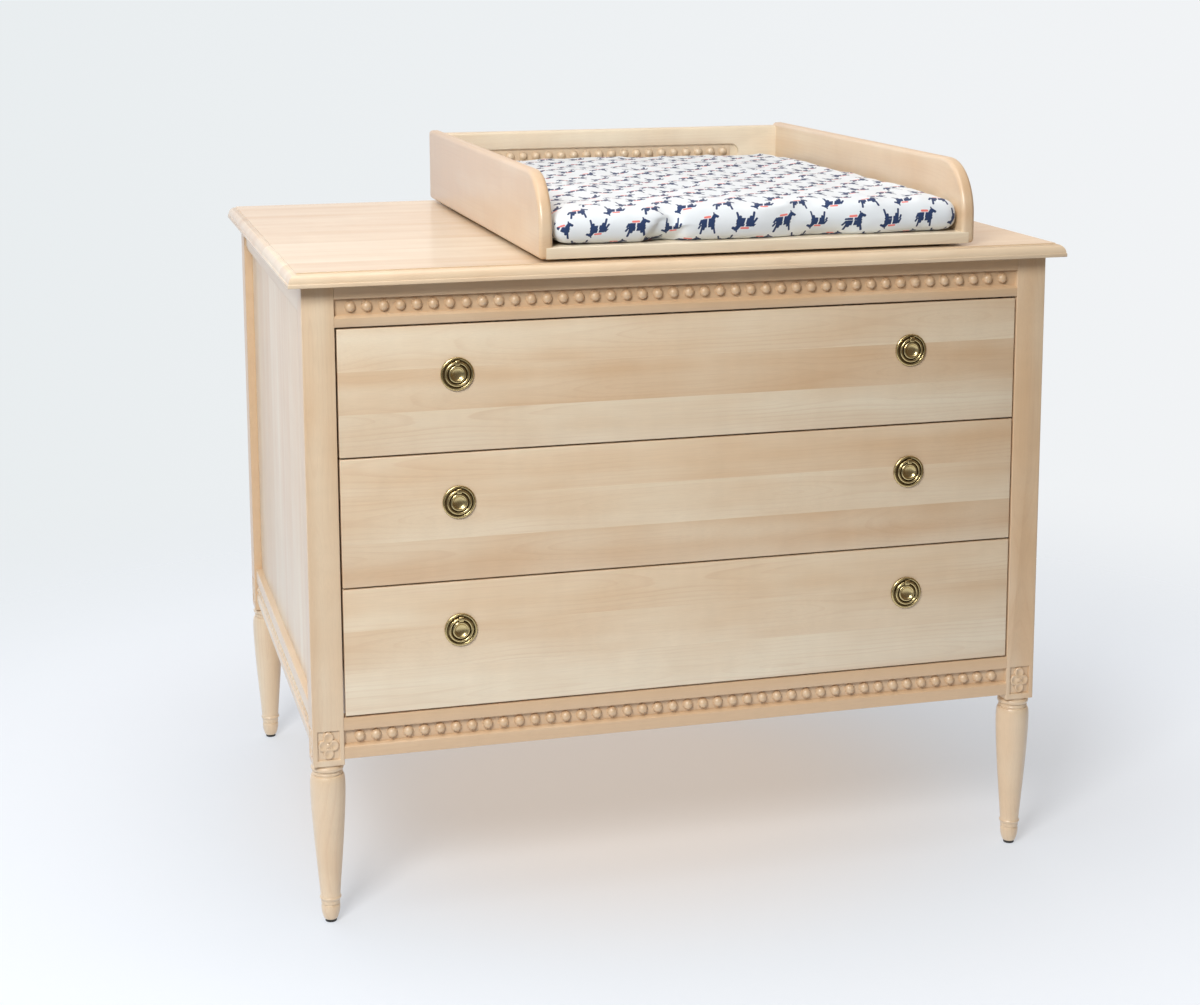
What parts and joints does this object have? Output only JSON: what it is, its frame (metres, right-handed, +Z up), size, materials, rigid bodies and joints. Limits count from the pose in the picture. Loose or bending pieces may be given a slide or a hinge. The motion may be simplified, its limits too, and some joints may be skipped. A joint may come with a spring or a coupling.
{
  "type": "changing table",
  "caption": "Light wooden dresser with drawers on turned legs, brass ring pulls, and a lift-off changing tray holding a soft printed mat.",
  "frame": {"origin": "on the floor, under the middle of the top board", "axes": "+X to the right along the front, +Y to the back, +Z up; the drawers open towards -Y"},
  "size_m": [1.037, 0.786, 0.9675],
  "materials": {
    "birch": "satin lacquer",
    "drawer_birch": "satin lacquer",
    "antique_brass": "aged and polished",
    "slide_steel": "zinc plated",
    "fastener_steel": "zinc plated",
    "glide_plastic": "moulded",
    "pad_rubber": "moulded",
    "mat_cotton": "printed cotton cover over foam"
  },
  "bodies": {
    "carcase": {"top_board": "birch", "post_front_left": "birch", "post_front_right": "birch", "post_rear_left": "birch", "post_rear_right": "birch", "legs": "birch", "glides": "glide_plastic", "leg_bolts": "fastener_steel", "top_screws": "fastener_steel", "front_top_rail": "birch", "front_bottom_rail": "birch", "front_top_beads": "birch", "front_bottom_beads": "birch", "left_top_rail": "birch", "left_bottom_rail": "birch", "right_top_rail": "birch", "right_bottom_rail": "birch", "side_beads": "birch", "left_panel": "birch", "right_panel": "birch", "rear_rails": "birch", "back_panel": "birch", "drawer_dividers": "birch", "runner_rails": "birch", "rosettes": "birch", "slide_cabinet_members": "slide_steel"},
    "drawer_1": {"drawer_1_front": "birch", "drawer_1_sides": "drawer_birch", "drawer_1_back": "drawer_birch", "drawer_1_bottom": "drawer_birch", "slide_drawer_members_1": "slide_steel", "pull_plates_1": "antique_brass"},
    "slide_middle_1": {"slide_middle_members_1": "slide_steel"},
    "ring_left_1": {"ring_left_1": "antique_brass"},
    "ring_right_1": {"ring_right_1": "antique_brass"},
    "drawer_2": {"drawer_2_front": "birch", "drawer_2_sides": "drawer_birch", "drawer_2_back": "drawer_birch", "drawer_2_bottom": "drawer_birch", "slide_drawer_members_2": "slide_steel", "pull_plates_2": "antique_brass"},
    "slide_middle_2": {"slide_middle_members_2": "slide_steel"},
    "ring_left_2": {"ring_left_2": "antique_brass"},
    "ring_right_2": {"ring_right_2": "antique_brass"},
    "drawer_3": {"drawer_3_front": "birch", "drawer_3_sides": "drawer_birch", "drawer_3_back": "drawer_birch", "drawer_3_bottom": "drawer_birch", "slide_drawer_members_3": "slide_steel", "pull_plates_3": "antique_brass"},
    "slide_middle_3": {"slide_middle_members_3": "slide_steel"},
    "ring_left_3": {"ring_left_3": "antique_brass"},
    "ring_right_3": {"ring_right_3": "antique_brass"},
    "tray": {"tray_left_board": "birch", "tray_right_board": "birch", "tray_back_board": "birch", "tray_plate": "birch", "tray_beads": "birch", "tray_pads": "pad_rubber"},
    "mat": {"changing_mat": "mat_cotton"}
  },
  "joints": [
    {"name": "drawer_1_slide", "type": "slide", "parent": "carcase", "child": "drawer_1", "axis": [0, -1, 0], "range_m": [0, 0.48]},
    {"name": "slide_middle_1_travel", "type": "slide", "parent": "carcase", "child": "slide_middle_1", "axis": [0, -1, 0], "range_m": [0, 0.24]},
    {"name": "ring_left_1_hinge", "type": "hinge", "parent": "drawer_1", "child": "ring_left_1", "pos_m": [-0.3067, -0.3707, 0.7327], "axis": [-1, 0, 0], "range_deg": [0, 135]},
    {"name": "ring_right_1_hinge", "type": "hinge", "parent": "drawer_1", "child": "ring_right_1", "pos_m": [0.3067, -0.3707, 0.7327], "axis": [-1, 0, 0], "range_deg": [0, 135]},
    {"name": "drawer_2_slide", "type": "slide", "parent": "carcase", "child": "drawer_2", "axis": [0, -1, 0], "range_m": [0, 0.48]},
    {"name": "slide_middle_2_travel", "type": "slide", "parent": "carcase", "child": "slide_middle_2", "axis": [0, -1, 0], "range_m": [0, 0.24]},
    {"name": "ring_left_2_hinge", "type": "hinge", "parent": "drawer_2", "child": "ring_left_2", "pos_m": [-0.3067, -0.3707, 0.5672], "axis": [-1, 0, 0], "range_deg": [0, 135]},
    {"name": "ring_right_2_hinge", "type": "hinge", "parent": "drawer_2", "child": "ring_right_2", "pos_m": [0.3067, -0.3707, 0.5672], "axis": [-1, 0, 0], "range_deg": [0, 135]},
    {"name": "drawer_3_slide", "type": "slide", "parent": "carcase", "child": "drawer_3", "axis": [0, -1, 0], "range_m": [0, 0.48]},
    {"name": "slide_middle_3_travel", "type": "slide", "parent": "carcase", "child": "slide_middle_3", "axis": [0, -1, 0], "range_m": [0, 0.24]},
    {"name": "ring_left_3_hinge", "type": "hinge", "parent": "drawer_3", "child": "ring_left_3", "pos_m": [-0.3067, -0.3707, 0.399], "axis": [-1, 0, 0], "range_deg": [0, 135]},
    {"name": "ring_right_3_hinge", "type": "hinge", "parent": "drawer_3", "child": "ring_right_3", "pos_m": [0.3067, -0.3707, 0.399], "axis": [-1, 0, 0], "range_deg": [0, 135]},
    {"name": "tray_lift", "type": "slide", "parent": "carcase", "child": "tray", "axis": [0, 0, 1], "range_m": [0, 0.25]},
    {"name": "mat_lift", "type": "slide", "parent": "tray", "child": "mat", "axis": [0, 0, 1], "range_m": [0, 0.15]}
  ],
  "couplings": [
    {"joint": "slide_middle_1_travel", "follows": "drawer_1_slide", "ratio": 0.5},
    {"joint": "slide_middle_2_travel", "follows": "drawer_2_slide", "ratio": 0.5},
    {"joint": "slide_middle_3_travel", "follows": "drawer_3_slide", "ratio": 0.5}
  ]
}
